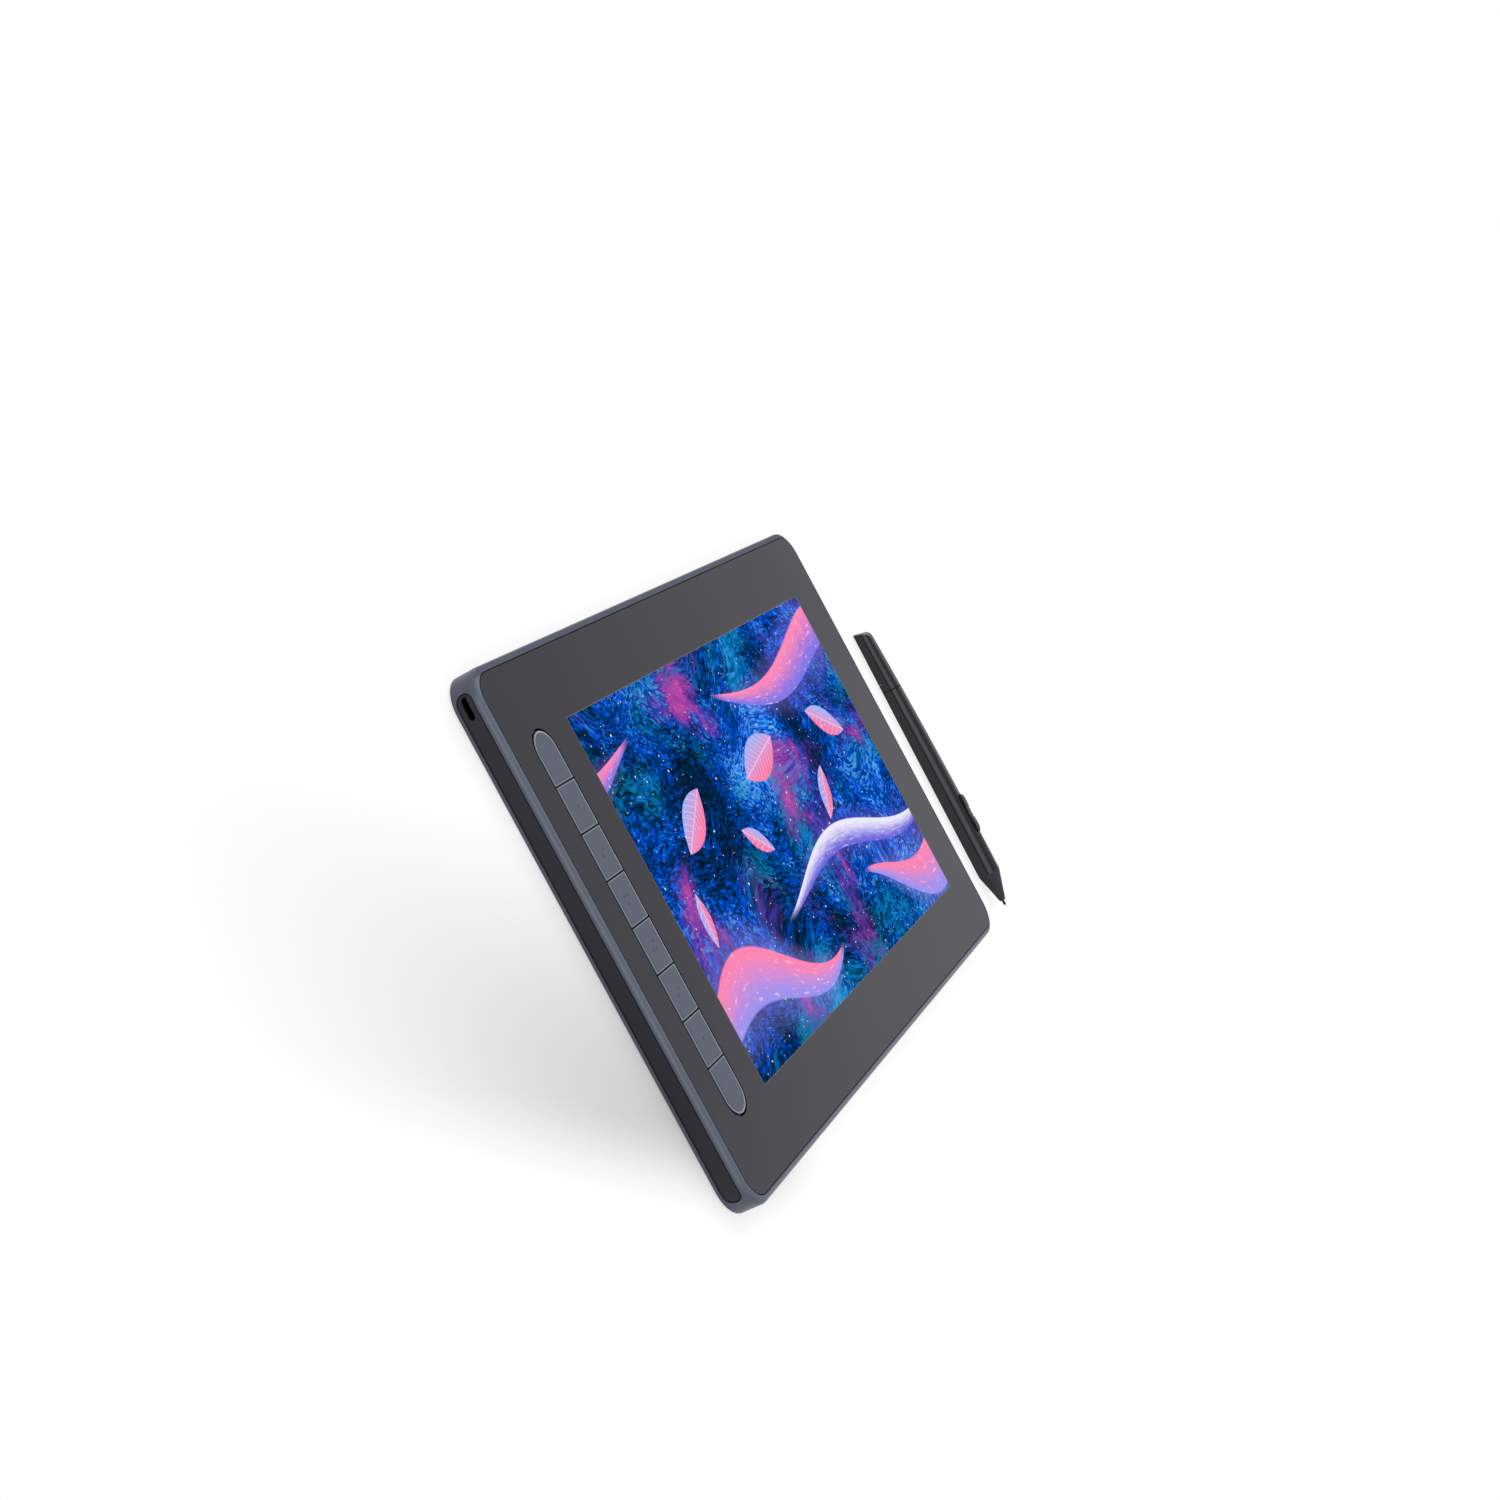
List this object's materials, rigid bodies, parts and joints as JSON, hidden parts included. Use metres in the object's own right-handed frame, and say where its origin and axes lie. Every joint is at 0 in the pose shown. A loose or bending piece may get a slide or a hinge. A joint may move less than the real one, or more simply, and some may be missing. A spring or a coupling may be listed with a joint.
{
  "type": "graphics tablet with screen",
  "caption": "Flat pen display with a glass front, a column of shortcut keys, side inserts, a data port and a separate pen lying beside it.",
  "frame": {"origin": "centre of the flat underside of the tablet body", "axes": "+X along the long side, away from the keys; +Y towards the long side nearer the port; +Z out of the screen"},
  "size_m": [0.396, 0.2078, 0.0122],
  "materials": {
    "body_paint": "fine blasted and coated, satin",
    "front_sheet": "etched matte front over a dark printed border",
    "insert_plastic": "matte",
    "key_plastic": "matte",
    "power_plastic": "matte",
    "foot_rubber": "matte",
    "screw_steel": "black plated",
    "frame_alloy": "die cast",
    "tape": "black foam tape",
    "cell_glass": "polarised",
    "film": "prismatic film",
    "acrylic": "clear",
    "reflector": "white sheet",
    "lamp_strip": "lamps on a white strip",
    "tray_steel": "pressed",
    "circuit_board": "solder mask",
    "chip": "moulded",
    "ribbon": "polyimide",
    "switch_body": "moulded",
    "port_steel": "drawn",
    "port_plastic": "moulded",
    "guide_plastic": "moulded",
    "pen_plastic": "satin black",
    "nose_plastic": "fine matte",
    "rocker_plastic": "satin black",
    "nib_plastic": "acetal",
    "copper": "wound wire",
    "ferrite": "sintered"
  },
  "bodies": {
    "tablet": {"rear_shell": "body_paint", "mid_frame": "frame_alloy", "cover_glass": "front_sheet", "glass_tape": "tape", "left_side_strip": "insert_plastic", "right_side_strip": "insert_plastic", "rubber_feet": "foot_rubber", "case_screws": "screw_steel", "lcd_cell": "cell_glass", "film_stack": "film", "light_guide": "acrylic", "reflector_sheet": "reflector", "led_bar": "lamp_strip", "panel_tray": "tray_steel", "sensor_board": "circuit_board", "shield_plate": "tray_steel", "sensor_header": "chip", "main_board": "circuit_board", "board_parts": "chip", "board_screws": "screw_steel", "key_board": "circuit_board", "key_guide": "guide_plastic", "key_switches": "switch_body", "port_board": "circuit_board", "usb_c_shell": "port_steel", "usb_c_tongue": "port_plastic", "port_ribbon": "ribbon", "power_ribbon": "ribbon", "key_ribbon": "ribbon", "panel_ribbon": "ribbon", "power_switch": "switch_body", "power_board": "circuit_board"},
    "key_1": {"key_1": "key_plastic"},
    "key_2": {"key_2": "key_plastic"},
    "key_3": {"key_3": "key_plastic"},
    "key_4": {"key_4": "key_plastic"},
    "key_5": {"key_5": "key_plastic"},
    "key_6": {"key_6": "key_plastic"},
    "key_7": {"key_7": "key_plastic"},
    "key_8": {"key_8": "key_plastic"},
    "power_button": {"power_button": "power_plastic"},
    "pen": {"pen_barrel": "pen_plastic", "pen_tail": "pen_plastic", "pen_nose": "nose_plastic", "pen_rocker_pin": "screw_steel", "pen_ferrite": "ferrite", "pen_coil": "copper", "pen_force_sensor": "guide_plastic", "pen_cradle": "guide_plastic", "pen_board": "circuit_board", "pen_switches": "switch_body"},
    "pen_nib": {"pen_nib": "nib_plastic"},
    "pen_rocker": {"pen_rocker": "rocker_plastic"}
  },
  "joints": [
    {"name": "key_1_press", "type": "slide", "parent": "tablet", "child": "key_1", "axis": [0, 0, -1], "range_m": [0, 0.0006], "stiffness_N_per_m": 120, "springref_m": -0.001},
    {"name": "key_2_press", "type": "slide", "parent": "tablet", "child": "key_2", "axis": [0, 0, -1], "range_m": [0, 0.0006], "stiffness_N_per_m": 120, "springref_m": -0.001},
    {"name": "key_3_press", "type": "slide", "parent": "tablet", "child": "key_3", "axis": [0, 0, -1], "range_m": [0, 0.0006], "stiffness_N_per_m": 120, "springref_m": -0.001},
    {"name": "key_4_press", "type": "slide", "parent": "tablet", "child": "key_4", "axis": [0, 0, -1], "range_m": [0, 0.0006], "stiffness_N_per_m": 120, "springref_m": -0.001},
    {"name": "key_5_press", "type": "slide", "parent": "tablet", "child": "key_5", "axis": [0, 0, -1], "range_m": [0, 0.0006], "stiffness_N_per_m": 120, "springref_m": -0.001},
    {"name": "key_6_press", "type": "slide", "parent": "tablet", "child": "key_6", "axis": [0, 0, -1], "range_m": [0, 0.0006], "stiffness_N_per_m": 120, "springref_m": -0.001},
    {"name": "key_7_press", "type": "slide", "parent": "tablet", "child": "key_7", "axis": [0, 0, -1], "range_m": [0, 0.0006], "stiffness_N_per_m": 120, "springref_m": -0.001},
    {"name": "key_8_press", "type": "slide", "parent": "tablet", "child": "key_8", "axis": [0, 0, -1], "range_m": [0, 0.0006], "stiffness_N_per_m": 120, "springref_m": -0.001},
    {"name": "power_press", "type": "slide", "parent": "tablet", "child": "power_button", "axis": [-1, 0, 0], "range_m": [0, 0.0004], "stiffness_N_per_m": 120, "springref_m": -0.001},
    {"name": "pen_lift", "type": "slide", "parent": "tablet", "child": "pen", "axis": [0, 0, 1], "range_m": [0, 0.12]},
    {"name": "pen_nib_press", "type": "slide", "parent": "pen", "child": "pen_nib", "axis": [0.0262, 0.9997, 0], "range_m": [0, 0.0003], "stiffness_N_per_m": 60, "springref_m": -0.0005},
    {"name": "pen_rocker_tilt", "type": "hinge", "parent": "pen", "child": "pen_rocker", "pos_m": [0.21674, -0.05632, 0.00744], "axis": [0.9997, -0.0262, 0], "range_deg": [-1.5, 1.5], "stiffness_Nm_per_rad": 0.01}
  ]
}
